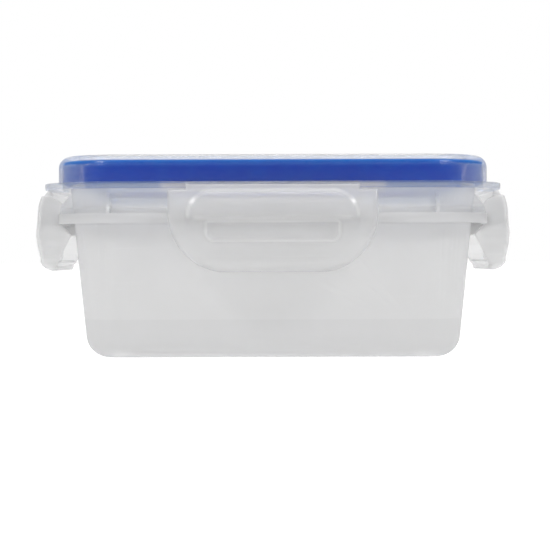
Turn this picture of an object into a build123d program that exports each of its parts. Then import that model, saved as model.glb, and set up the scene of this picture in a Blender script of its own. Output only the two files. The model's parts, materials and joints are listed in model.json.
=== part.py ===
"""Snap lid food container: a drafted square box, a lid with four latches, and a seal.

Millimetres, +Z up.  The origin is the centre of the base, on the surface the box
stands on.  All four sides are alike: what belongs to a side is drawn once on the
+X side, where "reach" is the distance from the centre line and t runs along the
side, and is then turned round to the others.
"""
from build123d import *
import os
from math import radians, tan

# ---- Box --------------------------------------------------------------------
base_half = 64.9            # half width across the base
box_height = 60.3           # base to the top of the sealing rim
draft = 5.9                 # outward lean of the walls, degrees
wall = 1.2                  # thickness of the walls
rim_corner_radius = 18.0    # plan radius of the corners at the top of the rim
base_fillet = 8.0           # round between the walls and the base
floor = 1.4                 # thickness of the floor
foot_height = 0.6           # recess under the base, inside the foot ring
foot_width = 6.0            # width of the flat that the box stands on
foot_corner_radius = 9.0    # plan radius of the corners of the recess
rim_round = 0.4             # round on both edges of the rim

# ---- Ledge round the box, with a catch for each latch -------------------------
ledge_drop = 10.3           # top of the rim down to the top of the ledge
ledge_reach = 4.1           # ledge edge beyond the rim
ledge_plate = 1.6           # thickness of the ledge
lip_drop = 3.5              # depth of its turned down lip
lip_wall = 1.1              # thickness of that lip
catch_half_width = 28.0     # half length of a catch along its side
catch_reach = 5.3           # catch edge beyond the ledge edge
catch_corner = 2.0          # plan radius of its corners
gusset_places = (-22.0, -11.0, 11.0, 22.0)
gusset_depth = 5.4          # how far the gussets reach down below the ledge plate
rib_places = (-56.0, 0.0, 56.0)
rib_height = 7.0            # stiffening ribs between the ledge and the rim
rib_toe = 2.8               # height of a rib's outer edge above the ledge
rib_wall = 1.2              # thickness of the ribs and gussets

# ---- Lid --------------------------------------------------------------------
skirt_wall = 1.3            # wall outside the seal
guide_wall = 1.3            # wall inside the seal, which guides the lid into the box
guide_clearance = 0.7       # guide to the inside of the rim
guide_depth = 2.8           # how far the guide reaches below the rim
seal_side_clearance = 0.2   # seal to each wall of its channel
seal_width = 4.2
seal_height = 7.7
seal_seat_clearance = 0.1   # seal to the top of the rim
seal_top_clearance = 0.3    # seal to the top of its channel
seal_round = 2.0            # round on the seal's top edges
seal_foot_round = 0.8       # round on its bottom edges
lid_wall = 1.6              # thickness over the seal channel
lid_edge_round = 4.0        # round on the outside top edge
panel_recess = 6.0          # middle panel below the raised edge, where a foot stacks
panel_wall = 1.4            # thickness of the middle panel
recess_round = 1.5          # round at the foot and mouth of the recess
flange_reach = 4.7          # flange edge beyond the skirt
flange_wall = 2.1           # thickness of the flange
flange_rise = 0.1           # top of the flange above the rim
edge_break = 0.5            # small round on the flange edge

# ---- Film hinges --------------------------------------------------------------
film_reach = 2.2            # flange edge to the hinge line
film_thickness = 0.5
film_bead_radius = 0.45     # bead on the hinge line
film_half_width = 29.0      # half length of a hinge along its side
film_below_flange_top = 0.8
film_clearance = 0.25       # bead to the latch

# ---- Latches ------------------------------------------------------------------
latch_half_width = 35.1
latch_face = 4.8            # outermost skin beyond the hinge line
latch_drop = 29.8           # hinge line down to the bottom edge
latch_wall = 1.4
knuckle = 1.2               # hinge line out to the skin at the top edge
shoulder_drop = 2.2         # hinge line down to the full width
shoulder_fall = 8.4         # hinge line down to the foot of the upper curve
shoulder_inset = 0.3        # skin there, behind the outermost skin
tail_rise = 4.9             # bottom edge up to the start of the lower curve
tail_inset = 0.6            # skin there, behind the outermost skin
toe_inset = 4.0             # bottom edge, behind the outermost skin
shoulder_bow = 0.8          # rise of each curve above its chord
face_bow = 0.45
tail_bow = 1.0
toe_bow = 0.5
corner_round = 20.0         # large round at both bottom corners, seen from outside
return_clearance = 0.8      # side returns to the ledge
tuck = 2.8                  # how far the returns tuck in below the ledge
tuck_drop = 3.5             # ledge lip down to the tip of the tuck
heel = (6.1, 3.5)           # foot of the tuck: in from the bottom edge, and up from it
bead_hook = 1.2             # overlap of the latch bead under the catch
bead_clearance = 0.2        # bead to the catch
bead_height = 1.9
bead_round = 0.5
bead_end_clearance = 0.5    # bead shorter than the catch at each end
pillow_half_width = 28.0    # raised pad on the upper face
pillow_proud = 0.6
pillow_drop = 12.1          # hinge line down to the bottom of the pad
frame_half_width = 22.2     # shallow framed panel below the pad
frame_height = 7.0
frame_depth = 0.5

# ---- Worked out from the sizes above --------------------------------------------
lean = tan(radians(draft))
rim_half = base_half + box_height * lean
floor_top = foot_height + floor
ledge_top = box_height - ledge_drop
ledge_bottom = ledge_top - lip_drop
ledge_half = rim_half + ledge_reach
catch_half = ledge_half + catch_reach
channel_inner = rim_half - wall - guide_clearance
channel_outer = channel_inner + seal_width + 2 * seal_side_clearance
lid_half = channel_outer + skirt_wall
recess_half = channel_inner - guide_wall
seal_bottom = box_height + seal_seat_clearance
seal_top = seal_bottom + seal_height
channel_top = seal_top + seal_top_clearance
lid_top = channel_top + lid_wall
panel_top = lid_top - panel_recess
flange_half = lid_half + flange_reach
flange_top = box_height + flange_rise
flange_bottom = flange_top - flange_wall
guide_bottom = box_height - guide_depth
hinge_reach = flange_half + film_reach
hinge_height = flange_top - film_below_flange_top
face_reach = hinge_reach + latch_face
latch_bottom = hinge_height - latch_drop
SIDES = {"right": 0, "back": 90, "left": 180, "front": 270}


def wall_half(height):
    """Half width of the outside of the box at a height."""
    return base_half + height * lean


def slab(half, bottom, top):
    """Square slab whose corners share their centres with the corners of the rim."""
    radius = rim_corner_radius + half - rim_half
    outline = RectangleRounded(2 * half, 2 * half, radius)
    return extrude(Plane.XY.offset(bottom) * outline, amount=top - bottom)


def side_block(inner, outer, half_width, bottom, top):
    """Block on the +X side, from one reach and height to another."""
    centre = ((inner + outer) / 2, 0, (bottom + top) / 2)
    return Pos(*centre) * Box(outer - inner, 2 * half_width, top - bottom)


def side_prism(points, middle, width):
    """Prism along the +X side from an outline of (reach, height) points."""
    outline = make_face(Polyline(*points, close=True))
    section = Plane((0, middle, 0), x_dir=(1, 0, 0), z_dir=(0, -1, 0)) * outline
    return extrude(section, amount=width / 2, both=True)


def all_sides(piece):
    """The same piece on all four sides."""
    return [Rot(0, 0, turn) * piece for turn in SIDES.values()]


def tapered_block(bottom, top, inset):
    """Drafted square block that follows the walls, set in from their outside."""
    half = wall_half(bottom) - inset
    radius = rim_corner_radius + half - rim_half
    outline = RectangleRounded(2 * half, 2 * half, radius)
    block = extrude(Plane.XY.offset(bottom) * outline, amount=top - bottom, taper=-draft)
    return fillet(block.edges().group_by(Axis.Z)[0], base_fillet - inset)


def make_catch():
    """Catch on the +X side: a channel that opens downwards, with gussets inside."""
    outline = RectangleRounded(2 * catch_half, 2 * catch_half_width, catch_corner)
    whole = extrude(Plane.XY.offset(ledge_bottom) * outline, amount=lip_drop)
    plate_bottom = ledge_top - ledge_plate
    catch = whole & side_block(rim_half - wall, catch_half, catch_half_width,
                               ledge_bottom, ledge_top)
    catch -= side_block(0, catch_half - lip_wall, catch_half_width - lip_wall,
                        ledge_bottom, plate_bottom)
    gusset_bottom = plate_bottom - gusset_depth
    root = wall_half(gusset_bottom) - wall / 2
    outline = [
        (root, gusset_bottom),
        (ledge_half, gusset_bottom),
        (catch_half - lip_wall, ledge_bottom),
        (catch_half - lip_wall, plate_bottom),
        (root, plate_bottom),
    ]
    for place in gusset_places:
        catch += side_prism(outline, place, rib_wall)
    return catch


def make_ribs():
    """Stiffening ribs on the +X side, between the ledge and the rim."""
    root = wall_half(ledge_top) - wall / 2
    outline = [
        (root, ledge_top - ledge_plate / 2),
        (ledge_half - lip_wall, ledge_top - ledge_plate / 2),
        (ledge_half - lip_wall, ledge_top + rib_toe),
        (root + wall, ledge_top + rib_height),
        (root, ledge_top + rib_height),
    ]
    return [side_prism(outline, place, rib_wall) for place in rib_places]


def make_container_box():
    """The box: drafted walls, rounded base with a foot ring, rim, ledge and catches."""
    box = tapered_block(0, box_height, 0)
    box += slab(ledge_half, ledge_bottom, ledge_top)
    box -= (slab(ledge_half - lip_wall, ledge_bottom, ledge_top - ledge_plate)
            - tapered_block(0, box_height, 0))
    mouth = side_block(ledge_half - 2 * lip_wall, ledge_half + lip_wall,
                       catch_half_width - lip_wall, ledge_bottom, ledge_top - ledge_plate)
    box -= all_sides(mouth)
    box += all_sides(make_catch())
    for rib in make_ribs():
        box += all_sides(rib)
    box -= tapered_block(floor_top, box_height, wall)
    box = fillet(box.edges().group_by(Axis.Z)[-1], rim_round)
    recess_half_width = base_half - base_fillet - foot_width
    recess = RectangleRounded(2 * recess_half_width, 2 * recess_half_width, foot_corner_radius)
    return box - extrude(recess, amount=foot_height)


def make_lid_panel():
    """The lid: raised edge over the seal channel, sunk middle panel, guide and flange."""
    lid = slab(lid_half, flange_bottom, lid_top)
    lid = fillet(lid.edges().group_by(Axis.Z)[-1], lid_edge_round)
    flange = slab(flange_half, flange_bottom, flange_top)
    flange = fillet(flange.edges().group_by(Axis.Z)[0], edge_break)
    lid += flange
    lid += slab(channel_inner, guide_bottom, flange_bottom)
    channel = slab(channel_outer, guide_bottom, channel_top)
    channel = fillet(channel.edges().group_by(Axis.Z)[-1], lid_edge_round - skirt_wall)
    lid -= channel - slab(channel_inner, guide_bottom, channel_top)
    lid -= slab(recess_half, guide_bottom, panel_top - panel_wall)
    recess = slab(recess_half, panel_top, lid_top)
    recess = fillet(recess.edges().group_by(Axis.Z)[0], recess_round)
    lid -= recess
    mouth = [edge for edge in lid.edges().group_by(Axis.Z)[-1]
             if max(abs(edge.center().X), abs(edge.center().Y)) < recess_half + skirt_wall / 2]
    return fillet(mouth, recess_round / 2)


def make_seal_ring():
    """The seal: a soft square ring that fills the channel of the lid."""
    outer = channel_outer - seal_side_clearance
    inner = channel_inner + seal_side_clearance
    ring = slab(outer, seal_bottom, seal_top) - slab(inner, seal_bottom, seal_top)
    ring = fillet(ring.edges().group_by(Axis.Z)[-1], seal_round)
    return fillet(ring.edges().group_by(Axis.Z)[0], seal_foot_round)


def make_film_hinge():
    """Film hinge on the +X side: a thin web from the flange, with a bead on the axis."""
    web = side_block(flange_half, hinge_reach, film_half_width,
                     hinge_height - film_thickness / 2, hinge_height + film_thickness / 2)
    bead = Cylinder(film_bead_radius, 2 * film_half_width)
    return web + Pos(hinge_reach, 0, hinge_height) * Rot(90, 0, 0) * bead


def bowed(start, end, rise):
    """Arc from start to end that stands out to the left of the way it runs."""
    run, climb = end[0] - start[0], end[1] - start[1]
    length = (run ** 2 + climb ** 2) ** 0.5
    middle = ((start[0] + end[0]) / 2 - rise * climb / length,
              (start[1] + end[1]) / 2 + rise * run / length)
    return ThreePointArc(start, middle, end)


def latch_side_view():
    """Outline of a latch seen along its side, as one face of (reach, height)."""
    top = (hinge_reach + knuckle, hinge_height)
    shoulder = (face_reach - shoulder_inset, hinge_height - shoulder_fall)
    tail = (face_reach - tail_inset, latch_bottom + tail_rise)
    toe = (face_reach - toe_inset, latch_bottom)
    heel_point = (toe[0] - heel[0], toe[1] + heel[1])
    return_reach = ledge_half + return_clearance
    tuck_tip = (return_reach - tuck, ledge_bottom - tuck_drop)
    ledge_point = (return_reach, ledge_bottom - return_clearance)
    flange_point = (flange_half + return_clearance, flange_bottom - return_clearance)
    shoulder_point = (return_reach, (ledge_top + flange_bottom) / 2)
    skin = [bowed(top, shoulder, shoulder_bow), bowed(shoulder, tail, face_bow),
            bowed(tail, toe, tail_bow), bowed(toe, heel_point, toe_bow)]
    back = Polyline(heel_point, tuck_tip, ledge_point, shoulder_point, flange_point, top)
    face = make_face(Curve() + skin + back)
    return Plane((0, 0, 0), x_dir=(1, 0, 0), z_dir=(0, -1, 0)) * face


def latch_front_view():
    """Outline of a latch seen from outside the box, as one face of (t, height)."""
    half = [(film_half_width, hinge_height), (film_half_width, hinge_height - shoulder_drop),
            (latch_half_width, hinge_height - shoulder_drop), (latch_half_width, latch_bottom)]
    other = [(-t, height) for t, height in reversed(half)]
    face = make_face(Polyline(*half, *other, close=True))
    return fillet(face.vertices().group_by(Axis.Y)[0], corner_round)


def make_latch():
    """Latch on the +X side: a curved tray with a pad, a framed panel and a hook bead."""
    upright = Plane((0, 0, 0), x_dir=(0, 1, 0), z_dir=(1, 0, 0))
    outline = latch_front_view()
    block = extrude(latch_side_view(), amount=latch_half_width, both=True)
    solid = block & extrude(upright * outline, amount=face_reach + latch_wall)
    hollow = extrude(upright * offset(outline, amount=-latch_wall),
                     amount=face_reach + latch_wall)
    latch = solid - ((Pos(-latch_wall, 0, 0) * block) & hollow)
    latch -= side_block(0, hinge_reach + film_bead_radius + film_clearance,
                        latch_half_width, hinge_height - 2 * film_clearance - knuckle,
                        hinge_height + knuckle)
    pad_bottom = hinge_height - pillow_drop
    beside_pad = (side_block(hinge_reach, face_reach + 1, latch_half_width + 1, pad_bottom,
                             hinge_height - shoulder_drop)
                  - side_block(hinge_reach, face_reach + 1, pillow_half_width, pad_bottom,
                               hinge_height - shoulder_drop))
    latch -= beside_pad & (block - Pos(-pillow_proud, 0, 0) * block)
    frame = side_block(face_reach - toe_inset, face_reach + 1, frame_half_width,
                       pad_bottom - frame_height, pad_bottom)
    latch -= frame & (block - Pos(-frame_depth, 0, 0) * block)
    bead_top = ledge_bottom - bead_clearance
    nose = catch_half - bead_hook
    root = face_reach - latch_wall
    outline = [(root, bead_top - bead_height), (nose + bead_round, bead_top - bead_height),
               (nose, bead_top - bead_height + bead_round), (nose, bead_top - bead_round),
               (nose + bead_round, bead_top), (root, bead_top)]
    return latch + side_prism(outline, 0, 2 * (catch_half_width - bead_end_clearance))


nodes = {
    "container_box": make_container_box(),
    "lid_panel": make_lid_panel(),
    "seal_ring": make_seal_ring(),
}
film_hinge = make_film_hinge()
latch = make_latch()
for side, turn in SIDES.items():
    nodes["film_hinge_" + side] = Rot(0, 0, turn) * film_hinge
    nodes["latch_" + side] = Rot(0, 0, turn) * latch

os.makedirs("parts", exist_ok=True)
for name, piece in nodes.items():
    export_step(piece, f"parts/{name}.step")
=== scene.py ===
"""Looks of a snap lid food container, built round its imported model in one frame.

The box and the lid are clear polypropylene, the seal between them is blue silicone.
Everything is in metres, with the origin at the centre of the base and +Z up.
"""

import json
import logging
import math
from dataclasses import dataclass, field
from enum import Enum
from typing import Any, Callable, Sequence, Union

import bmesh
import bpy
from mathutils import Vector
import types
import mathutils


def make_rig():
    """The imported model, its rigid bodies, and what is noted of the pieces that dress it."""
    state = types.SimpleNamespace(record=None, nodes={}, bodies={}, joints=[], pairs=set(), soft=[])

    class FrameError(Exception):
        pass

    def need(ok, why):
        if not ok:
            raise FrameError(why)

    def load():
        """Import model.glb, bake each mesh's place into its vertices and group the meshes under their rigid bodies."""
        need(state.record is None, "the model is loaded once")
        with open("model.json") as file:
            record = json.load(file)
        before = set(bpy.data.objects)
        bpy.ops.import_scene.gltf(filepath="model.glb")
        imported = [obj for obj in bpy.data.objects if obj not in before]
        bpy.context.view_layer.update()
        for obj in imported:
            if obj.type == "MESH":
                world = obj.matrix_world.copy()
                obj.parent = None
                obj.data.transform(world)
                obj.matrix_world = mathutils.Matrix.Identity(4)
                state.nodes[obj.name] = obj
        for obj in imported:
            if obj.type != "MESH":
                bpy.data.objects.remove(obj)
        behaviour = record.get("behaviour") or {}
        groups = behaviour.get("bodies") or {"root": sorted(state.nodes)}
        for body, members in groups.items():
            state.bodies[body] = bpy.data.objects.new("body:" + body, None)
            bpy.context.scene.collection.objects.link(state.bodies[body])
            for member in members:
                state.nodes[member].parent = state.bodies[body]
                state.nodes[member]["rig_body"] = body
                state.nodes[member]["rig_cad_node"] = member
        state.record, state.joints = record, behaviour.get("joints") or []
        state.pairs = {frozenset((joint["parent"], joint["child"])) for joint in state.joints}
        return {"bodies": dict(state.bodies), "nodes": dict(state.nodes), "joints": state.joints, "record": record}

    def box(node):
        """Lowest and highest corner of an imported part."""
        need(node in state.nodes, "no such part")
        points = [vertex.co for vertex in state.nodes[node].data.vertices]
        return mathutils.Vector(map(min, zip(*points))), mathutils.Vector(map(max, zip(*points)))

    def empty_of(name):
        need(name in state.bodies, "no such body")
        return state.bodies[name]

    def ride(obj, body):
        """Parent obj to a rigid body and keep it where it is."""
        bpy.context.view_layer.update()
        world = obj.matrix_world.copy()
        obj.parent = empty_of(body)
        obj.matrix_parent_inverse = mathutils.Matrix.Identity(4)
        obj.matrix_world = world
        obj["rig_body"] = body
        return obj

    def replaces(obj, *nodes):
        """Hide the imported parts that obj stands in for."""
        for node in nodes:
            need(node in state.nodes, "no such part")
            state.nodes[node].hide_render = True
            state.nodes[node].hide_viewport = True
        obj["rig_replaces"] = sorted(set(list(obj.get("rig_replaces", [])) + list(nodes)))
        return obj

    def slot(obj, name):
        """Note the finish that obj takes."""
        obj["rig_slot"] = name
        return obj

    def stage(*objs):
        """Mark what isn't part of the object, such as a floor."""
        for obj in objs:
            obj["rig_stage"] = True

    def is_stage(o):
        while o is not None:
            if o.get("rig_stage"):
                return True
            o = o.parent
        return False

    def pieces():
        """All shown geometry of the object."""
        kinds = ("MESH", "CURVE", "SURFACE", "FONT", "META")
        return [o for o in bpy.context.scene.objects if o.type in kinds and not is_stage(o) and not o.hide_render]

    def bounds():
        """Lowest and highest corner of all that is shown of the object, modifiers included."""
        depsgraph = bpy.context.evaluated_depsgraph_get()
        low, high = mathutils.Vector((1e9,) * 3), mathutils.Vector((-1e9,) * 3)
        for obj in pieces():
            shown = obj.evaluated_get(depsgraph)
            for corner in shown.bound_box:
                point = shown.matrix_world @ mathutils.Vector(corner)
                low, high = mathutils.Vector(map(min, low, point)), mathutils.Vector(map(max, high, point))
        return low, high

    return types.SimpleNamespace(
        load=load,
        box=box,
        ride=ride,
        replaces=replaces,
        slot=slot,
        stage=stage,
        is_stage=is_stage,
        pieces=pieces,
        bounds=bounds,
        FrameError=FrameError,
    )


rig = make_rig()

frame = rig.load()
CAD_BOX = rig.bounds()

LOG = logging.getLogger("container")
MM = 0.001
HAIR = 0.01 * MM
SIZE_FILE = "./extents.json"
RELIEF_HIGHLIGHT = "relief"

Colour = tuple[float, float, float]
Place = tuple[float, float, float]
Value = Union["Socket", float, Sequence[float]]


class Side(Enum):
    """The four sides of the container, each with its turn from the +X side in degrees."""

    RIGHT = ("right", 0)
    BACK = ("back", 90)
    LEFT = ("left", 180)
    FRONT = ("front", 270)

    @property
    def label(self) -> str:
        """The side's name, as it stands in node and body names."""
        return self.value[0]

    @property
    def turn(self) -> float:
        """The side's turn about +Z, in radians."""
        return math.radians(self.value[1])


class Slot(Enum):
    """Material slots of the record."""

    BOX = "box_polypropylene"
    LID = "lid_polypropylene"
    SEAL = "seal_silicone"


# ---- Shader graphs ------------------------------------------------------------------


class Socket:
    """An output of a shader node that can be used in Python expressions."""

    def __init__(self, graph: "Graph", output: bpy.types.NodeSocket) -> None:
        """Wrap one output.

        Args:
            graph: The graph that the output belongs to.
            output: The node socket.
        """
        self.graph = graph
        self.output = output

    def _maths(self, operation: str, *values: Value) -> "Socket":
        """A Math node over some values, as a new socket."""
        return self.graph.node("ShaderNodeMath", {"operation": operation}, dict(enumerate(values)))

    def __add__(self, other: Value) -> "Socket":
        """Sum."""
        return self._maths("ADD", self, other)

    def __radd__(self, other: Value) -> "Socket":
        """Sum, with the socket on the right."""
        return self._maths("ADD", other, self)

    def __sub__(self, other: Value) -> "Socket":
        """Difference."""
        return self._maths("SUBTRACT", self, other)

    def __rsub__(self, other: Value) -> "Socket":
        """Difference, with the socket on the right."""
        return self._maths("SUBTRACT", other, self)

    def __mul__(self, other: Value) -> "Socket":
        """Product."""
        return self._maths("MULTIPLY", self, other)

    def __rmul__(self, other: Value) -> "Socket":
        """Product, with the socket on the right."""
        return self._maths("MULTIPLY", other, self)

    def __pow__(self, other: Value) -> "Socket":
        """Power."""
        return self._maths("POWER", self, other)

    def clamped(self) -> "Socket":
        """The value held between 0 and 1."""
        return self._maths("MINIMUM", self._maths("MAXIMUM", self, 0.0), 1.0)

    def ramp(self, low: float, high: float, start: Value = 0.0, end: Value = 1.0) -> "Socket":
        """Smooth change from one value to another as this one grows.

        Args:
            low: Value of this socket at which the change begins.
            high: Value at which it is complete.
            start: Result below low.
            end: Result above high.

        Returns:
            The result, which is a mask where start and end are left as they are.
        """
        return self.graph.node(
            "ShaderNodeMapRange",
            {"interpolation_type": "SMOOTHSTEP", "clamp": True},
            {"Value": self, "From Min": low, "From Max": high, "To Min": start, "To Max": end},
        )


class Graph:
    """Node tree of a material or of the world, with one shader at its end."""

    def __init__(self, owner: bpy.types.Material | bpy.types.World, shader: str) -> None:
        """Open the owner's node tree.

        Args:
            owner: A new material or world.
            shader: Name of the shader node that it starts with.
        """
        owner.use_nodes = True
        self.owner = owner
        self.tree = owner.node_tree
        self.shader = self.tree.nodes[shader]

    @classmethod
    def principled(cls, name: str) -> "Graph":
        """The graph of a new material with a Principled shader."""
        return cls(bpy.data.materials.new(name), "Principled BSDF")

    def node(self, kind: str, settings: dict[str, Any] | None = None,
             inputs: dict[Any, Value] | None = None, output: int | str = 0) -> Socket:
        """Add a node of any kind.

        Args:
            kind: The node's type.
            settings: Properties that are set before the inputs.
            inputs: Values or sockets, by input name or number.
            output: Name or number of the output that is wanted.

        Returns:
            That output.
        """
        made = self.tree.nodes.new(kind)
        for name, value in (settings or {}).items():
            setattr(made, name, value)
        for name, value in (inputs or {}).items():
            self._feed(made.inputs[name], value)
        return Socket(self, made.outputs[output])

    def _feed(self, target: bpy.types.NodeSocket, value: Value) -> None:
        """Link a socket to an input, or set the input's own value.

        Args:
            target: The input.
            value: A socket, a number, or the parts of a colour or of a vector.
        """
        if isinstance(value, Socket):
            self.tree.links.new(value.output, target)
        elif isinstance(value, (int, float)):
            target.default_value = value
        else:
            size = len(target.default_value)
            target.default_value = (*value, 1.0)[:size]

    def set(self, **values: Value) -> None:
        """Set inputs of the shader, with underscores for spaces."""
        for name, value in values.items():
            self._feed(self.shader.inputs[name.replace("_", " ")], value)

    def mixed(self, factor: Value, low: Value, high: Value) -> Socket:
        """A colour between two colours.

        Args:
            factor: 0 for low, 1 for high.
            low: First colour.
            high: Second colour.

        Returns:
            The mixed colour.
        """
        made = self.tree.nodes.new("ShaderNodeMix")
        made.data_type = "RGBA"
        self._feed(made.inputs["Factor"], factor)
        colours = {item.name: item for item in made.inputs if item.type == "RGBA"}
        self._feed(colours["A"], low)
        self._feed(colours["B"], high)
        return Socket(self, next(item for item in made.outputs if item.type == "RGBA"))

    def place(self, stretch: Sequence[float] = (1, 1, 1), turn: Sequence[float] = (0, 0, 0)) -> Socket:
        """Object coordinates, in metres, stretched and turned.

        Args:
            stretch: Scale along each axis.
            turn: Rotation about each axis, in radians.

        Returns:
            The coordinates.
        """
        origin = self.node("ShaderNodeTexCoord", output="Object")
        return self.node("ShaderNodeMapping", None,
                         {"Vector": origin, "Scale": stretch, "Rotation": turn})

    def noise(self, grain: float, detail: float = 3.0, stretch: Sequence[float] = (1, 1, 1),
              turn: Sequence[float] = (0, 0, 0)) -> Socket:
        """Cloudy pattern.

        Args:
            grain: Size of its features in metres.
            detail: Octaves of finer pattern.
            stretch: Scale along each axis.
            turn: Rotation about each axis, in radians.

        Returns:
            Values about 0.5.
        """
        return self.node("ShaderNodeTexNoise", None,
                         {"Vector": self.place(stretch, turn), "Scale": 1 / grain, "Detail": detail})

    def height(self) -> Socket:
        """Height of a point above the floor, in metres."""
        return self.node("ShaderNodeSeparateXYZ", None, {"Vector": self.place()}, "Z")

    def bump(self, height: Socket, depth: float, below: Socket | None = None) -> Socket:
        """Relief from a height pattern.

        Args:
            height: Pattern from 0 to 1.
            depth: Its depth in metres.
            below: Relief that this one lies on.

        Returns:
            The surface normal.
        """
        inputs: dict[Any, Value] = {"Height": height, "Distance": depth, "Strength": 1.0}
        if below is not None:
            inputs["Normal"] = below
        return self.node("ShaderNodeBump", None, inputs)

    def edge(self, blend: float) -> Socket:
        """How much a surface turns edge on, from 0 face on to 1."""
        return self.node("ShaderNodeLayerWeight", None, {"Blend": blend}, "Facing")


# ---- Finishes -------------------------------------------------------------------------


@dataclass(frozen=True)
class ClearPlastic:
    """Unpigmented polypropylene: see-through with a milky haze that gathers edge on.

    Attributes:
        haze: Colour of the haze, seen face on.
        thick: Colour where the plastic is thick or edge on.
        clear: Share of the light through the haze that goes on behind it.
        gloss: Weight of the polished skin.
        edge_power: How closely the edge-on look keeps to the outline.
        cloud: How far the opacity wanders.
        cloud_gloss: How much further the roughness wanders.
        scuff: How much rougher the handling scratches are.
        scuff_body: Their opacity, as a share of that.
        relief_body: Extra opacity where the relief attribute is 1: thick plastic along the relief's edges, and in part
            painted highlight lines.
        rim: Height above which the plastic is made clearer, painted lightening of the zone that the lid shades, or 0.
        thicker: Bands tinted toward the thick colour, as low height, high height and share; thick plastic, and in part
            painted shade where a band catches overhead light.
        bleed: Colour of the painted reflection of the blue seal in the plastic.
        bleed_start: Distance from the side's middle at which that painted reflection begins.
    """

    name: str
    haze: Colour = (0.82, 0.82, 0.82)
    thick: Colour = (0.60, 0.60, 0.61)
    clear: float = 0.52
    gloss: float = 0.3
    body: float = 0.70
    edge_body: float = 0.9
    edge_power: float = 2.5
    roughness: float = 0.45
    cloud: float = 0.05
    cloud_gloss: float = 2.4
    cloud_size: float = 26 * MM
    peel_size: float = 1.6 * MM
    peel_depth: float = 0.02 * MM
    scuff: float = 0.05
    scuff_body: float = 0.35
    scuff_depth: float = 0.005 * MM
    relief_body: float = 0.2
    rim: float = 0.0
    rim_thinner: float = 0.24
    thicker: tuple[tuple[float, float, float], ...] = ()
    band_soft: float = 0.5 * MM
    bleed: Colour = (0.12, 0.30, 0.68)
    bleed_share: float = 0.8
    bleed_start: float = 37 * MM
    bleed_low: float = 0.0
    bleed_high: float = 0.0

    def build(self) -> bpy.types.Material:
        """Make the material.

        Returns:
            The material.
        """
        graph = Graph.principled(self.name)
        edge = graph.edge(0.5) ** self.edge_power
        cloud = graph.noise(self.cloud_size, 4.0)
        # The relief attribute makes the latch's relief edges milkier: thick plastic there, and in part painted
        # highlight lines.
        relief = graph.node("ShaderNodeAttribute", {"attribute_name": RELIEF_HIGHLIGHT}, {}, "Fac")
        height = graph.height()
        opacity = self.body + (self.edge_body - self.body) * edge
        opacity = opacity + (cloud - 0.5) * self.cloud + relief * self.relief_body
        tint = graph.mixed(edge.clamped(), self.haze, self.thick)
        roughness = self.roughness + (cloud - 0.5) * (self.cloud * self.cloud_gloss)
        normal = None
        if self.peel_depth > 0:
            normal = graph.bump(graph.noise(self.peel_size, 2.0), self.peel_depth)
        # Painted lightening: above the rim height the plastic is made clearer, so the zone that the lid shades reads
        # lighter.
        if self.rim > 0:
            opacity = opacity - height.ramp(self.rim, self.rim + MM) * self.rim_thinner
        # Bands toward the thick colour: thick plastic, and in part painted shade that darkens what a band catches of
        # the overhead light.
        for low, high, share in self.thicker:
            tint = graph.mixed(self._band(height, low, high) * share, tint, self.thick)
        # Painted reflection: the seal's blue is mixed into the flange band.
        if self.bleed_high > self.bleed_low:
            tint = graph.mixed(self._bleed(graph, height), tint, self.bleed)
        if self.scuff > 0:
            scuffs = self._scuffs(graph)
            opacity = opacity + scuffs * (self.scuff * self.scuff_body)
            roughness = roughness + scuffs * self.scuff
            normal = graph.bump(scuffs, self.scuff_depth, normal)
        if normal is not None:
            graph.set(Normal=normal)
        graph.set(
            Base_Color=tint,
            Alpha=opacity.clamped(),
            Roughness=roughness.clamped(),
            IOR=1.49,
            Specular_IOR_Level=0.5,
            Coat_Weight=self.gloss,
            Coat_Roughness=0.05,
            Transmission_Weight=self.clear,
        )
        return graph.owner

    def _band(self, height: Socket, low: float, high: float) -> Socket:
        """Mask of the points between two heights."""
        return height.ramp(low - self.band_soft, low) * (1 - height.ramp(high, high + self.band_soft))

    def _bleed(self, graph: Graph, height: Socket) -> Socket:
        """Mask of the painted reflection of the seal in the flange beneath it, left out beside the latches, which
        shade it.

        Args:
            graph: The material's graph.
            height: Height of a point.

        Returns:
            The mask.
        """
        band = self._band(height, self.bleed_low, self.bleed_high)
        for axis in ("X", "Y"):
            place = graph.node("ShaderNodeSeparateXYZ", None, {"Vector": graph.place()}, axis)
            away = (place * place) ** 0.5
            band = band * away.ramp(self.bleed_start, self.bleed_start + 2 * MM)
        return (band * self.bleed_share).clamped()

    def _scuffs(self, graph: Graph) -> Socket:
        """Fine handling scratches in three directions, gathered in patches.

        Args:
            graph: The material's graph.

        Returns:
            The mask.
        """
        marks = None
        for turn in (0.3, 1.25, 2.2):
            streak = graph.noise(9 * MM, 2.0, (0.12, 9.0, 3.0), (turn, turn * 0.7, turn))
            mask = streak.ramp(0.68, 0.74)
            marks = mask if marks is None else marks + mask
        patch = graph.noise(34 * MM, 1.0).ramp(0.48, 0.62)
        return (marks * patch).clamped()


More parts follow.
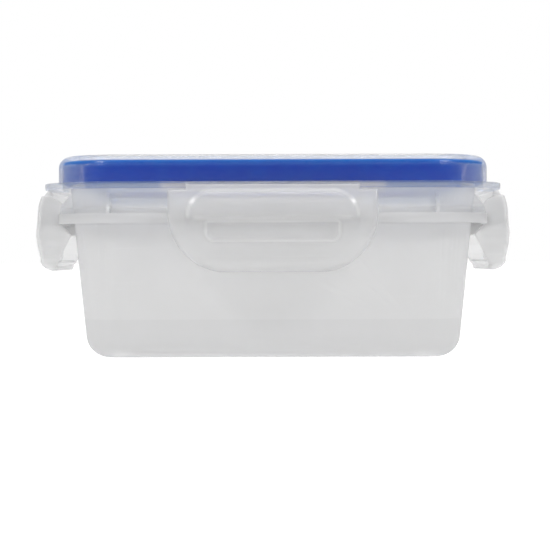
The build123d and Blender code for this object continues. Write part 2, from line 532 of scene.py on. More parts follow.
@dataclass(frozen=True)
class Silicone:
    """Blue silicone with a satin, faintly mottled skin, paler toward its top as painted top light and paler edge on as
    painted sheen.
    """

    name: str
    deep: Colour = (0.001, 0.038, 0.34)
    pale: Colour = (0.006, 0.20, 0.54)
    roughness: float = 0.5
    crown: float = 68.1 * MM
    crown_fade: float = 3 * MM
    edge_pale: float = 0.55
    crown_pale: float = 0.35
    mottle_pale: float = 0.25
    mottle_size: float = 6 * MM
    mottle_depth: float = 0.05 * MM
    grain_size: float = 0.35 * MM
    grain_depth: float = 0.012 * MM

    def build(self) -> bpy.types.Material:
        """Make the material.

        Returns:
            The material.
        """
        graph = Graph.principled(self.name)
        # Painted sheen: the seal is paler where it turns edge on.
        edge = graph.edge(0.4)
        mottle = graph.noise(self.mottle_size, 4.0)
        grain = graph.noise(self.grain_size, 2.0)
        height = graph.height()
        # Painted top light: the seal is paler toward its crown.
        crown = height.ramp(self.crown - self.crown_fade, self.crown)
        # The share mixes painted light with the random mottle.
        share = edge * self.edge_pale + crown * self.crown_pale + (mottle - 0.5) * self.mottle_pale
        colour = graph.mixed(share.clamped(), self.deep, self.pale)
        graph.set(
            Base_Color=colour,
            Roughness=(self.roughness + (mottle - 0.5) * 0.2).clamped(),
            Normal=graph.bump(grain, self.grain_depth, graph.bump(mottle, self.mottle_depth)),
            IOR=1.42,
            Specular_IOR_Level=0.25,
        )
        return graph.owner


@dataclass(frozen=True)
class StudioWhite:
    """Even white that glows enough to swallow its own shadows."""

    name: str
    grey: Colour = (0.2, 0.2, 0.2)
    roughness: float = 0.9
    glow: float = 0.9

    def build(self) -> bpy.types.Material:
        """Make the material.

        Returns:
            The material.
        """
        graph = Graph.principled(self.name)
        graph.set(Base_Color=self.grey, Roughness=self.roughness, Emission_Color=(1, 1, 1),
                  Emission_Strength=self.glow)
        return graph.owner


# ---- The studio -------------------------------------------------------------------------


@dataclass(frozen=True)
class Softbox:
    """A square lamp that is aimed at the middle of the container."""

    name: str
    place: Place
    size: float
    power: float
    aim: Place = (0, 0, 40 * MM)

    def build(self) -> None:
        """Hang the lamp."""
        lamp = bpy.data.lights.new(self.name, "AREA")
        lamp.size = self.size
        lamp.energy = self.power
        holder = bpy.data.objects.new(self.name, lamp)
        holder.location = self.place
        holder.rotation_euler = (Vector(self.aim) - Vector(self.place)).to_track_quat("-Z", "Y").to_euler()
        bpy.context.scene.collection.objects.link(holder)


@dataclass
class Studio:
    """Floor, light and camera.

    Attributes:
        level: Tilt of the camera about its view axis, in degrees.
        sky_front: Light from behind the camera.
        sky_low: Light from the sides and from behind the container.
        sky_high: Light from overhead.
        sky_seen: What the camera itself sees of the sky.
        front_range: Directions, as their Y part, between which the front light turns to the side light.
        high_range: Directions, as their Z part, between which the light turns to the overhead light.
    """

    floor_half: float = 6.0
    distance: float = 600 * MM
    eye_height: float = 35.6 * MM
    lens: float = 101.65
    sensor: float = 36.0
    level: float = 0.18
    shift: tuple[float, float] = (0.0036, -0.0364)
    sky_front: float = 0.08
    sky_low: float = 0.6
    sky_high: float = 0.9
    sky_seen: float = 1.0
    front_range: tuple[float, float] = (-0.95, -0.45)
    high_range: tuple[float, float] = (0.05, 0.6)
    softboxes: tuple[Softbox, ...] = (
        Softbox("left_softbox", (-0.45, -0.55, 0.55), 0.18, 2.1),
        Softbox("right_softbox", (0.45, -0.55, 0.55), 0.18, 2.1),
        Softbox("top_softbox", (0.0, -0.1, 0.9), 0.5, 0.7),
    )

    def build(self) -> None:
        """Set up the whole studio."""
        self._floor()
        self._sky()
        for softbox in self.softboxes:
            softbox.build()
        self._camera()
        scene = bpy.context.scene
        scene.view_settings.view_transform = "Standard"
        scene.cycles.transparent_max_bounces = 48
        scene.cycles.max_bounces = 8
        LOG.info("studio ready")

    def _floor(self) -> None:
        """Lay the floor."""
        bpy.ops.mesh.primitive_plane_add(size=2 * self.floor_half)
        floor = bpy.context.object
        floor.name = "studio_floor"
        floor.data.materials.append(StudioWhite("studio_white").build())
        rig.stage(floor)

    def _sky(self) -> None:
        """Surround everything with white light that is dim behind the camera and bright overhead."""
        graph = Graph(bpy.data.worlds.new("studio_sky"), "Background")
        direction = graph.node("ShaderNodeTexCoord", output="Generated")
        across = graph.node("ShaderNodeSeparateXYZ", None, {"Vector": direction}, "Y")
        upward = graph.node("ShaderNodeSeparateXYZ", None, {"Vector": direction}, "Z")
        room = across.ramp(*self.front_range, self.sky_front, self.sky_low)
        dome = upward.ramp(*self.high_range, room, self.sky_high)
        seen = graph.node("ShaderNodeLightPath", output="Is Camera Ray")
        graph.set(Color=(1, 1, 1), Strength=seen.ramp(0, 1, dome, self.sky_seen))
        bpy.context.scene.world = graph.owner

    def _camera(self) -> None:
        """Stand the camera level with the wall of the container, square to its front."""
        data = bpy.data.cameras.new("camera")
        data.lens = self.lens
        data.sensor_width = self.sensor
        data.shift_x, data.shift_y = self.shift
        data.clip_start = 10 * MM
        data.clip_end = 50.0
        holder = bpy.data.objects.new("camera", data)
        holder.location = (0, -self.distance, self.eye_height)
        holder.rotation_euler = (math.radians(90), math.radians(self.level), 0)
        bpy.context.scene.collection.objects.link(holder)
        bpy.context.scene.camera = holder


# ---- Modelling --------------------------------------------------------------------------


class Model:
    """A mesh that is being modelled with operators, in edit and object mode."""

    def __init__(self, name: str) -> None:
        """Take over the object that was just added.

        Args:
            name: The name that the finished piece has.
        """
        self.piece = bpy.context.object
        self.piece.name = name
        self.piece.data.name = name

    def applied(self) -> "Model":
        """Move the object's place, turn and scale into its mesh.

        Returns:
            This model.
        """
        self.alone()
        bpy.ops.object.transform_apply(location=True, rotation=True, scale=True)
        return self

    def alone(self) -> None:
        """Select this object and nothing else."""
        if bpy.context.object and bpy.context.object.mode != "OBJECT":
            bpy.ops.object.mode_set(mode="OBJECT")
        bpy.ops.object.select_all(action="DESELECT")
        self.piece.select_set(True)
        bpy.context.view_layer.objects.active = self.piece

    def pick(self, kind: str, test: Callable[[Vector], bool], boundary: bool = False) -> None:
        """Select the vertices, edges or faces that lie in some place, and enter edit mode.

        Args:
            kind: VERT, EDGE or FACE.
            test: Says of each one's centre whether it is wanted.
            boundary: Take only edges that have one face.
        """
        self.alone()
        bpy.ops.object.mode_set(mode="EDIT")
        bpy.ops.mesh.select_mode(type=kind)
        bpy.ops.mesh.select_all(action="DESELECT")
        mesh = bmesh.from_edit_mesh(self.piece.data)
        items = {"VERT": mesh.verts, "EDGE": mesh.edges, "FACE": mesh.faces}[kind]
        for item in items:
            if kind == "VERT":
                centre = item.co
            elif kind == "EDGE":
                centre = (item.verts[0].co + item.verts[1].co) / 2
            else:
                centre = item.calc_center_median()
            if test(centre) and not (boundary and len(item.link_faces) != 1):
                item.select_set(True)
        mesh.select_flush_mode()
        bmesh.update_edit_mesh(self.piece.data)

    def cut(self, point: Place, normal: Place, clear: bool = True) -> None:
        """Cut the whole mesh along a plane.

        Args:
            point: A point of the plane.
            normal: The plane's normal.
            clear: Remove what lies on the normal's side.
        """
        self.pick("FACE", lambda centre: True)
        bpy.ops.mesh.bisect(plane_co=point, plane_no=normal, clear_outer=clear)

    def weigh(self, group: str, weight: Callable[[Vector], float]) -> None:
        """Paint a vertex group.

        Args:
            group: The group's name.
            weight: Weight of a vertex at a place, from 0 to 1.
        """
        self.alone()
        painted = self.piece.vertex_groups.new(name=group)
        for vertex in self.piece.data.vertices:
            painted.add([vertex.index], min(max(weight(vertex.co), 0.0), 1.0), "REPLACE")

    def modify(self, kind: str, **settings: Any) -> None:
        """Add a modifier and apply it.

        Args:
            kind: The modifier's type.
            settings: Its settings.
        """
        self.alone()
        modifier = self.piece.modifiers.new(kind.lower(), kind)
        for name, value in settings.items():
            setattr(modifier, name, value)
        bpy.ops.object.modifier_apply(modifier=modifier.name)

    def shift(self, group: str, axis: str, reach: float, weight: Callable[[Vector], float]) -> None:
        """Push the surface along an axis, by a painted share of a distance.

        Args:
            group: Name for the painted weights.
            axis: X, Y, Z or NORMAL.
            reach: Distance at weight 1, which may be negative.
            weight: Weight of a vertex at a place.
        """
        self.weigh(group, weight)
        self.modify("DISPLACE", direction=axis, strength=reach, mid_level=0.0, vertex_group=group)

    def mark(self, attribute: str, weight: Callable[[Vector], float]) -> None:
        """Store a share at every vertex for a material to read.

        Args:
            attribute: Name of the attribute.
            weight: Share at a place, from 0 to 1.
        """
        layer = self.piece.data.attributes.new(attribute, "FLOAT", "POINT")
        for vertex in self.piece.data.vertices:
            layer.data[vertex.index].value = weight(vertex.co)

    def copy(self, name: str) -> "Model":
        """A copy with a mesh of its own.

        Args:
            name: The copy's name.

        Returns:
            The copy.
        """
        self.alone()
        bpy.ops.object.duplicate()
        return Model(name)

    def turned(self, angle: float) -> "Model":
        """Turn the piece about the container's upright centre line.

        Args:
            angle: The turn, in radians.

        Returns:
            This model.
        """
        self.alone()
        bpy.ops.transform.rotate(value=-angle, orient_axis="Z", center_override=(0, 0, 0))
        return self.applied()

    def finished(self, material: bpy.types.Material, smooth: float = 40.0) -> bpy.types.Object:
        """Dress the piece and shade it smooth.

        Args:
            material: Its material.
            smooth: Edges sharper than this many degrees stay sharp.

        Returns:
            The object.
        """
        self.alone()
        self.piece.vertex_groups.clear()
        bpy.ops.object.shade_smooth_by_angle(angle=math.radians(smooth))
        self.piece.data.materials.clear()
        self.piece.data.materials.append(material)
        return self.piece


def smooth_step(value: float, low: float, high: float) -> float:
    """Smooth rise from 0 at low to 1 at high."""
    share = min(max((value - low) / (high - low), 0.0), 1.0)
    return share * share * (3 - 2 * share)


def inside_rounded(t: float, z: float, half: float, low: float, high: float,
                   round_low: float, round_high: float) -> float:
    """Distance of a point inside a rectangle with rounded corners; negative outside it.

    Args:
        t: Place along the side, from its middle.
        z: Height.
        half: Half width of the rectangle.
        low: Its lowest height.
        high: Its highest height.
        round_low: Radius of its bottom corners.
        round_high: Radius of its top corners.

    Returns:
        The distance to the outline.
    """
    radius = round_low if z < (low + high) / 2 else round_high
    across = abs(t) - (half - radius)
    up = abs(z - (low + high) / 2) - ((high - low) / 2 - radius)
    outside = math.hypot(max(across, 0.0), max(up, 0.0))
    return radius - outside - min(max(across, up), 0.0)


def bow_reach(start: tuple[float, float], end: tuple[float, float], rise: float, z: float) -> float:
    """Reach at a height of an arc that bows outwards between two (reach, height) points.

    Args:
        start: The upper end.
        end: The lower end.
        rise: Height of the arc above its chord.
        z: The height.

    Returns:
        The reach.
    """
    span = math.dist(start, end)
    radius = (span * span / 4 + rise * rise) / (2 * rise)
    out = ((start[1] - end[1]) / span, (end[0] - start[0]) / span)
    centre = [(start[i] + end[i]) / 2 - out[i] * (radius - rise) for i in (0, 1)]
    return centre[0] + math.sqrt(max(radius * radius - (z - centre[1]) ** 2, 0.0))


# ---- The container ------------------------------------------------------------------------


@dataclass
class LatchProfile:
    """Side view of a latch: how far its skin and the inner edge of its side walls reach at a height.

    The skin runs down from the crown over the shoulder and the tail to the toe, in three arcs. The inner
    edge starts at the toe with the floor, which ends at the heel. It goes furthest in at the tuck, steps
    back in a recess that clears the catch, and ends in the web at the film hinge.
    """

    knuckle: float = 1.2 * MM
    shoulder_set: float = 0.55 * MM
    shoulder_fall: float = 8.4 * MM
    tail_set: float = 0.85 * MM
    tail_rise: float = 4.9 * MM
    toe_set: float = 4.0 * MM
    heel_set: float = 4.0 * MM
    heel_rise: float = 3.5 * MM
    heel_curve: float = 1.35
    upper_bow: float = 0.8 * MM
    middle_bow: float = 0.45 * MM
    toe_bow: float = 1.65 * MM
    tuck_height: float = 43.0 * MM
    recess: float = 2.8 * MM
    recess_low: float = 45.6 * MM
    recess_high: float = 54.1 * MM
    web_in: float = 1.4 * MM
    web_low: float = 57.5 * MM
    web_out: float = 0.8 * MM
    web_high: float = 58.2 * MM

    def __post_init__(self) -> None:
        """Read the latch's own size from its node and its hinge, and place the corners of the profile."""
        low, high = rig.box("latch_right")
        joint = next(j for j in frame["joints"] if j["name"] == "latch_right_hinge")
        hinge = Vector(joint["pos_m"])
        self.half, self.face = high.y, high.x
        self.top, self.bottom = hinge.z, low.z
        self.crown = (hinge.x + self.knuckle, self.top)
        self.shoulder = (self.face - self.shoulder_set, self.top - self.shoulder_fall)
        self.tail = (self.face - self.tail_set, self.bottom + self.tail_rise)
        self.toe = (self.face - self.toe_set, self.bottom)
        self.heel = (self.toe[0] - self.heel_set, self.bottom + self.heel_rise)
        step, web = low.x + self.recess, hinge.x + self.web_out
        self.back = (
            self.heel,
            (low.x, self.tuck_height),
            (step, self.recess_low),
            (step, self.recess_high),
            (hinge.x - self.web_in, self.web_low),
            (web, self.web_high),
            (web, self.top + MM),
        )

    def skin_reach(self, z: float) -> float:
        """Reach of the outer skin.

        Args:
            z: The height.

        Returns:
            The reach.
        """
        if z > self.shoulder[1]:
            return bow_reach(self.crown, self.shoulder, self.upper_bow, z)
        if z > self.tail[1]:
            return bow_reach(self.shoulder, self.tail, self.middle_bow, z)
        return bow_reach(self.tail, self.toe, self.toe_bow, z)

    def back_reach(self, z: float) -> float:
        """Reach of the inner edge of the side walls, and of the floor below the heel.

        Args:
            z: The height.

        Returns:
            The reach.
        """
        if z < self.heel[1]:
            share = 1 - (z - self.bottom) / self.heel_rise
            return self.toe[0] - self.heel_set * (1 - share ** self.heel_curve)
        for (reach_low, low), (reach_high, high) in zip(self.back, self.back[1:]):
            if z <= high:
                return reach_low + (reach_high - reach_low) * (z - low) / (high - low)
        return self.back[-1][0]


@dataclass
class SnapLatch:
    """One of the four latches: a curved tray with a raised pad, a framed panel and a hook.

    It is modelled on the right side, as a flat sheet whose walls are drawn out behind it in rings a
    millimetre apart, and then bent to its side view.

    Attributes:
        view: The latch's side view.
        film_half: Half width of the neck at the film hinge.
        shoulder_drop: Height of that neck.
        pad_skin: How deep behind the skin the part beside the pad still moves.
        frame_line: Distance from the panel's outline to the line of its frame.
        line_core: Half width over which a line has its full height.
        line_width: Half width at which a line has ended.
        lip_width: The same for the panel's own outline.
        skin_depth: How deep behind the skin a point still counts as skin.
    """

    finish: bpy.types.Material
    view: LatchProfile = field(default_factory=LatchProfile)
    wall: float = 1.4 * MM
    pitch: float = 1.0 * MM
    rings: int = 6
    film_half: float = 29.0 * MM
    shoulder_drop: float = 2.2 * MM
    corner: float = 20.0 * MM
    corner_cuts: int = 16
    edge_round: float = 1.1 * MM
    pad_half: float = 28.3 * MM
    pad_low: float = 47.3 * MM
    pad_high: float = 57.2 * MM
    pad_round: float = 8.5 * MM
    pad_proud: float = 0.6 * MM
    pad_skin: float = 0.9 * MM
    panel_half: float = 22.2 * MM
    panel_low: float = 40.3 * MM
    panel_high: float = 46.9 * MM
    panel_round: float = 2.8 * MM
    small_round: float = 0.8 * MM
    panel_depth: float = 0.7 * MM
    frame_line: float = 0.6 * MM
    frame_proud: float = 0.22 * MM
    crease_rise: float = 0.6 * MM
    crease_depth: float = 0.3 * MM
    crease_width: float = 1.0 * MM
    line_core: float = 0.2 * MM
    line_width: float = 0.9 * MM
    lip_width: float = 0.7 * MM
    skin_depth: float = 1.9 * MM
    bead_half: float = 27.5 * MM
    bead_low: float = 44.4 * MM
    bead_high: float = 46.3 * MM
    bead_nose: float = 79.33 * MM
    bead_round: float = 0.5 * MM

    def outline_depth(self, t: float, z: float) -> float:
        """Distance of a point of the skin inside the latch's outline.

        Args:
            t: Place along the side, from its middle.
            z: Height.

        Returns:
            The distance, which is never negative.
        """
        across, below = abs(t) - (self.view.half - self.corner), self.view.bottom + self.corner - z
        if across > 0 and below > 0:
            return max(self.corner - math.hypot(across, below), 0.0)
        return max(min(self.view.half - abs(t), z - self.view.bottom), 0.0)

    def build(self) -> None:
        """Model one latch, then set a copy on every side."""
        model = self._sheet()
        self._side_walls(model)
        self._floor(model)
        self._bend(model)
        self._emboss(model)
        model.modify("SOLIDIFY", thickness=self.wall, offset=-1.0, use_even_offset=True)
        self._hook(model)
        model.modify("SUBSURF", levels=1, render_levels=1)
        # The relief mark is thick plastic along the relief's edges and in part painted highlight lines.
        model.mark(RELIEF_HIGHLIGHT, self._relief)
        for side in Side:
            piece = model.copy(f"snap_latch_{side.label}").turned(side.turn).finished(self.finish)
            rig.ride(piece, f"latch_{side.label}")
            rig.replaces(piece, f"latch_{side.label}")
            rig.slot(piece, Slot.LID.value)
            LOG.info("%s: %d faces", piece.name, len(piece.data.polygons))
        bpy.data.objects.remove(model.piece)

    def _sheet(self) -> Model:
        """The skin as a flat sheet, cut to the latch's outline.

        Returns:
            The sheet.
        """
        bpy.ops.object.select_all(action="DESELECT")
        tall = self.view.top - self.view.bottom
        bpy.ops.mesh.primitive_grid_add(
            x_subdivisions=round(tall / self.pitch),
            y_subdivisions=round(2 * self.view.half / self.pitch),
            size=1,
            location=(self.view.face, 0, (self.view.top + self.view.bottom) / 2),
            rotation=(0, math.radians(90), 0),
        )
        model = Model("latch_model")
        model.piece.scale = (tall, 2 * self.view.half, 1)
        model.applied()
        middle = (self.view.half - self.corner, self.view.bottom + self.corner)
        for step in range(1, self.corner_cuts):
            angle = math.radians(90 * step / self.corner_cuts)
            normal = (math.cos(angle), -math.sin(angle))
            for way in (1, -1):
                point = (self.view.face, way * (middle[0] + normal[0] * self.corner),
                         middle[1] + normal[1] * self.corner)
                model.cut(point, (0, way * normal[0], normal[1]))
        for way in (1, -1):
            model.cut((self.view.face, way * self.film_half, self.view.top), (0, way, 0), clear=False)
        neck = self.view.top - self.shoulder_drop
        model.cut((self.view.face, 0, neck), (0, 0, 1), clear=False)
        model.pick("FACE", lambda c: abs(c.y) > self.film_half and c.z > neck)
        bpy.ops.mesh.delete(type="FACE")
        return model

    def _side_walls(self, model: Model) -> None:
        """Draw the side walls out of the outline, ring by ring.

        Args:
            model: The flat sheet.
        """
        low, high = self.view.bottom + 2 * HAIR, self.view.top - 2 * HAIR
        model.pick("EDGE", lambda c: low < c.z < high, boundary=True)
        for _ in range(self.rings):
            bpy.ops.mesh.extrude_edges_move(TRANSFORM_OT_translate={"value": (-MM, 0, 0)})
        bpy.ops.object.mode_set(mode="OBJECT")

    def _floor(self, model: Model) -> None:
        """Draw the bottom of the tray out of the bottom edge; its ends follow the side walls.

        Args:
            model: The flat sheet with its side walls.
        """
        foot = self.view.bottom + 2 * HAIR
        rim = [v.co.copy() for v in model.piece.data.vertices if abs(v.co.x - self.view.face) < HAIR]
        heel = self.view.heel[1]
        levels = sorted({round(p.z, 6) for p in rim if foot < p.z < heel and self._on_outline(p)})
        model.pick("EDGE", lambda c: c.z < foot and abs(c.x - self.view.face) < 0.1 * MM, boundary=True)
        z, half = self.view.bottom, max(abs(p.y) for p in rim if p.z < foot)
        back = -(self.rings + 1) * MM
        for level in levels:
            ends = max(abs(p.y) for p in rim if abs(p.z - level) < HAIR)
            bpy.ops.mesh.extrude_edges_move(TRANSFORM_OT_translate={"value": (back, 0, level - z)})
            bpy.ops.transform.resize(value=(1, ends / half, 1), center_override=(self.view.face, 0, level))
            z, half, back = level, ends, 0
        bpy.ops.object.mode_set(mode="OBJECT")

    def _on_outline(self, place: Vector) -> bool:
        """Whether a point of the flat sheet lies on its outline."""
        return self.outline_depth(place.y, place.z) < 0.1 * MM

    def _bend(self, model: Model) -> None:
        """Bend the flat sheet, its walls and its floor to the latch's side view.

        Args:
            model: The flat model.
        """
        # No point moves further than the span, so every weight stays under 1.
        span = 16 * MM
        model.shift("bend", "X", -span, lambda place: (place.x - self._target(place)) / span)
        model.alone()
        bpy.ops.object.mode_set(mode="EDIT")
        bpy.ops.mesh.select_all(action="SELECT")
        bpy.ops.mesh.remove_doubles(threshold=3 * HAIR)
        bpy.ops.mesh.normals_make_consistent(inside=False)
        bpy.ops.object.mode_set(mode="OBJECT")
        aim = Vector((self.view.face, 0, (self.panel_low + self.panel_high) / 2))
        middle = min(model.piece.data.polygons, key=lambda face: (face.center - aim).length)
        if middle.normal.x < 0:
            bpy.ops.object.mode_set(mode="EDIT")
            bpy.ops.mesh.flip_normals()
            bpy.ops.object.mode_set(mode="OBJECT")

    def _target(self, place: Vector) -> float:
        """Reach that a point of the flat model belongs at.

        Args:
            place: The point, whose distance behind the sheet tells its ring.

        Returns:
            The reach.
        """
        ring = round((self.view.face - place.x) / MM)
        skin, back = self.view.skin_reach(place.z), self.view.back_reach(place.z)
        if ring > self.rings:
            return back
        depth = min(self.outline_depth(place.y, place.z) if ring == 0 else 0.0, self.edge_round)
        fall = self.edge_round - math.sqrt(max(self.edge_round ** 2 - (self.edge_round - depth) ** 2, 0.0))
        if place.z > self.view.top - self.shoulder_drop - self.edge_round:
            fall = 0.0
        room = max(skin - back, 0.0)
        start = min(self.edge_round if ring else fall, room)
        return skin - start - (room - start) * ring / self.rings

    def _emboss(self, model: Model) -> None:
        """Raise the pad, sink the framed panel and draw the crease between them.

        Args:
            model: The bent model.
        """
        model.shift("pad", "X", -self.pad_proud, self._beside_pad)
        model.shift("panel", "X", -self.panel_depth, self._panel)
        model.shift("frame", "X", self.frame_proud, self._frame)
        model.shift("crease", "X", -self.crease_depth, self._crease)

    def _line(self, away: float) -> float:
        """Share of a line's height at some distance from its middle."""
        return 1 - smooth_step(away, self.line_core, self.line_width)

    def _on_skin(self, place: Vector, depth: float) -> float:
        """1 on the outer skin, down to a depth behind it, and 0 on the walls."""
        return 1.0 if place.x > self.view.skin_reach(place.z) - depth else 0.0

    def _inside_pad(self, place: Vector) -> float:
        """Distance inside the raised pad, which runs on below into the skin."""
        below = self.view.bottom - self.view.half
        return inside_rounded(place.y, place.z, self.pad_half, below, self.pad_high,
                              self.small_round, self.pad_round)

    def _inside_panel(self, place: Vector) -> float:
        """Distance inside the framed panel."""
        return inside_rounded(place.y, place.z, self.panel_half, self.panel_low, self.panel_high,
                              self.panel_round, self.small_round)

    def _beside_pad(self, place: Vector) -> float:
        """How far the skin beside the pad lies back.

        Args:
            place: The point.

        Returns:
            The share of the pad's height.
        """
        around = smooth_step(place.z, self.pad_low - 5 * MM, self.pad_low + MM)
        outside = 1 - smooth_step(self._inside_pad(place), -0.5 * MM, 0.6 * MM)
        return self._on_skin(place, self.pad_skin) * around * outside

    def _panel(self, place: Vector) -> float:
        """How far the framed panel is sunk, as a share."""
        inside = smooth_step(self._inside_panel(place), 0.0, self.line_width)
        return self._on_skin(place, self.skin_depth) * inside

    def _frame(self, place: Vector) -> float:
        """How far the frame round the panel stands out, as a share."""
        line = self._line(abs(self._inside_panel(place) + self.frame_line))
        return self._on_skin(place, self.skin_depth) * line

    def _crease(self, place: Vector) -> float:
        """How deep the crease under the pad is.

        Args:
            place: The point.

        Returns:
            The share of its depth.
        """
        away = abs(place.z - self.pad_low - self.crease_rise)
        ends = 1 - smooth_step(abs(place.y), self.pad_half - 3 * MM, self.pad_half - MM)
        line = 1 - smooth_step(away, self.line_core, self.crease_width)
        return self._on_skin(place, self.skin_depth) * ends * line

    def _relief(self, place: Vector) -> float:
        """Where the plastic is made milkier along the edges of the pad and the panel: thick plastic there, and in part
        painted highlight lines.

        Args:
            place: The point.

        Returns:
            The share, from 0 to 1.
        """
        if not self._on_skin(place, self.skin_depth):
            return 0.0
        lip = 1 - smooth_step(abs(self._inside_panel(place)), 0.0, self.lip_width)
        pad_edge = self._line(abs(self._inside_pad(place)))
        above = smooth_step(place.z, self.pad_low, self.pad_low + 2 * MM)
        return max(lip, self._crease(place), pad_edge * above)

    def _hook(self, model: Model) -> None:
        """Join the hook bead to the inside of the skin, a little way into the sunk panel's wall.

        Args:
            model: The latch, which has its thickness by now.
        """
        bpy.ops.object.select_all(action="DESELECT")
        middle = (self.bead_low + self.bead_high) / 2
        root = self.view.skin_reach(middle) - self.panel_depth - 0.6 * self.wall
        bpy.ops.mesh.primitive_cube_add(size=1, location=((root + self.bead_nose) / 2, 0, middle))
        bead = Model("hook_bead")
        bead.piece.scale = (root - self.bead_nose, 2 * self.bead_half, self.bead_high - self.bead_low)
        bead.applied()
        bead.modify("BEVEL", width=self.bead_round, segments=3, limit_method="ANGLE")
        model.modify("BOOLEAN", operation="UNION", object=bead.piece, solver="EXACT")
        bpy.data.objects.remove(bead.piece)


@dataclass
class SealRing:
    """The silicone seal: a ring with a rounded crown and two shallow grooves in each flank."""

    finish: bpy.types.Material
    width: float = 4.2 * MM
    corner: float = 20.5 * MM
    corner_steps: int = 16
    crown_round: float = 0.9 * MM
    foot_round: float = 0.7 * MM
    grooves: tuple[float, ...] = (2.3 * MM, 4.6 * MM)
    groove_width: float = 0.5 * MM
    groove_depth: float = 0.22 * MM
    smooth: float = 50.0

    def build(self) -> None:
        """Model the ring from a block as wide as its node."""
        low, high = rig.box("seal_ring")
        half, tall = high.x, high.z - low.z
        bpy.ops.object.select_all(action="DESELECT")
        bpy.ops.mesh.primitive_cube_add(size=1, location=(0, 0, (low.z + high.z) / 2))
        model = Model("seal_band")
        model.piece.scale = (2 * half, 2 * half, tall)
        model.applied()
        model.pick("EDGE", lambda c: abs(c.x) > half - MM and abs(c.y) > half - MM)
        bpy.ops.mesh.bevel(offset=self.corner, segments=self.corner_steps, affect="EDGES")
        model.pick("FACE", lambda c: abs(c.z - low.z) < 0.1 * MM or abs(c.z - high.z) < 0.1 * MM)
        bpy.ops.mesh.delete(type="FACE")
        for height in self.grooves:
            for edge in (-self.groove_width / 2, self.groove_width / 2):
                model.cut((0, 0, low.z + height + edge), (0, 0, 1), clear=False)
        model.modify("SOLIDIFY", thickness=self.width, offset=-1.0, use_even_offset=True)
        for level, rounding, segments in ((high.z, self.crown_round, 6), (low.z, self.foot_round, 3)):
            model.pick("EDGE", lambda c, level=level: (
                abs(c.z - level) < 5 * HAIR and not self._between_walls(c, half)))
            bpy.ops.mesh.bevel(offset=rounding, segments=segments, affect="EDGES")
        for height in self.grooves:
            middle = low.z + height
            model.pick("FACE", lambda c, middle=middle: abs(c.z - middle) < self.groove_width / 2)
            bpy.ops.transform.shrink_fatten(value=-self.groove_depth)
        piece = model.finished(self.finish, self.smooth)
        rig.ride(piece, "lid")
        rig.replaces(piece, "seal_ring")
        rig.slot(piece, Slot.SEAL.value)
        LOG.info("%s: %d faces", piece.name, len(piece.data.polygons))

    def _between_walls(self, place: Vector, half: float) -> bool:
        """Whether the middle of an edge lies between the flanks, as that of a cross edge does.

        Args:
            place: The middle of the edge.
            half: Half width of the ring.

        Returns:
            Whether it is a cross edge.
        """
        centre = half - self.corner
        across = math.hypot(max(abs(place.x) - centre, 0), max(abs(place.y) - centre, 0))
        return self.corner - self.width + 0.3 * MM < across < self.corner - 0.3 * MM


@dataclass
class SoftShell:
    """A moulding whose sharp edges are broken as a polished mould breaks them.

    Attributes:
        sharp: Edges sharper than this many degrees are broken.
        flat: Faces that meet at less than this many degrees are merged.
        smooth: Edges sharper than this many degrees stay sharp in the shading.
    """

    node: str
    name: str
    body: str
    slot: Slot
    finish: bpy.types.Material
    edge_break: float = 0.25 * MM
    sharp: float = 50.0
    flat: float = 0.6
    smooth: float = 35.0

    def build(self) -> None:
        """Copy the node's shape, clean its faces and round its edges."""
        source = frame["nodes"][self.node]
        bpy.ops.object.select_all(action="DESELECT")
        source.select_set(True)
        bpy.context.view_layer.objects.active = source
        bpy.ops.object.duplicate()
        model = Model(self.name)
        for key in [key for key in model.piece.keys() if key.startswith("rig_")]:
            del model.piece[key]
        model.piece.parent = None
        model.alone()
        bpy.ops.object.mode_set(mode="EDIT")
        bpy.ops.mesh.select_all(action="SELECT")
        bpy.ops.mesh.remove_doubles(threshold=HAIR / 5)
        bpy.ops.mesh.customdata_custom_splitnormals_clear()
        bpy.ops.mesh.dissolve_limited(angle_limit=math.radians(self.flat))
        bpy.ops.object.mode_set(mode="OBJECT")
        model.modify("BEVEL", width=self.edge_break, segments=2, limit_method="ANGLE",
                     angle_limit=math.radians(self.sharp), use_clamp_overlap=True)
        piece = model.finished(self.finish, self.smooth)
        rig.ride(piece, self.body)
        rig.replaces(piece, self.node)
        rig.slot(piece, self.slot.value)
        LOG.info("%s: %d faces", piece.name, len(piece.data.polygons))


@dataclass
class FilmHinge:
    """The thin web that joins a latch to the lid: its node, in the lid's own finish."""

    side: Side
    finish: bpy.types.Material

    def build(self) -> None:
        """Dress the node."""
        film = frame["nodes"][f"film_hinge_{self.side.label}"]
        film.data.materials.clear()
        film.data.materials.append(self.finish)
        LOG.info("%s: %d faces", film.name, len(film.data.polygons))


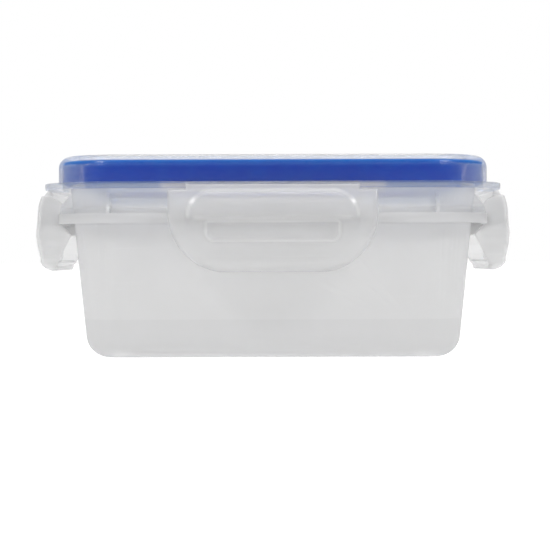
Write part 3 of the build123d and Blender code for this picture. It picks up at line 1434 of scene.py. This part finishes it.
def write_sizes() -> None:
    """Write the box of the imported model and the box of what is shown."""
    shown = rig.bounds()
    boxes = {"cad": [list(corner) for corner in CAD_BOX], "visual": [list(corner) for corner in shown]}
    with open(SIZE_FILE, "w") as file:
        json.dump(boxes, file)


def box_finish() -> ClearPlastic:
    """Finish of the box: darker bands at the base and at the step below the rim, that one in part painted shade, and a
    clearer rim zone that is painted lightening.
    """
    # The second band is thick plastic and in part painted shade against the overhead light that its top catches.
    base, thick_shaded_ledge = (-MM, 13.2 * MM, 0.22), (46.3 * MM, 50.2 * MM, 0.4)
    # Above the rim height the box is made clearer: painted lightening of the zone that the lid shades.
    return ClearPlastic(Slot.BOX.value, rim=51.5 * MM, thicker=(base, thick_shaded_ledge))


def lid_finish() -> ClearPlastic:
    """Finish of the lid: thin, clear and polished, with a painted reflection of the seal's blue in its flange."""
    return ClearPlastic(
        Slot.LID.value, haze=(0.93, 0.93, 0.95), thick=(0.75, 0.75, 0.86), clear=0.985, gloss=0.25,
        body=0.32, edge_body=0.7, edge_power=3.4, roughness=0.12, cloud=0.004, scuff=0.0, peel_depth=0.0,
        bleed_low=57.5 * MM, bleed_high=60.2 * MM)


def latch_finish() -> ClearPlastic:
    """Finish of the latches: glossier than the box and more see-through."""
    return ClearPlastic(
        "latch_polypropylene", haze=(0.76, 0.76, 0.76), thick=(0.62, 0.62, 0.63), clear=0.6, gloss=0.6,
        body=0.34, edge_body=0.62, edge_power=2.4, roughness=0.3, scuff=0.02)


def main() -> None:
    """Build the studio and the container."""
    logging.basicConfig(level=logging.INFO, format="%(message)s")
    Studio().build()
    box, lid, seal = box_finish().build(), lid_finish().build(), Silicone(Slot.SEAL.value).build()
    SoftShell("container_box", "moulded_box", "container", Slot.BOX, box).build()
    SoftShell("lid_panel", "moulded_lid", "lid", Slot.LID, lid).build()
    SealRing(seal).build()
    SnapLatch(latch_finish().build()).build()
    for side in Side:
        FilmHinge(side, lid).build()
    write_sizes()


if __name__ == "__main__":
    main()
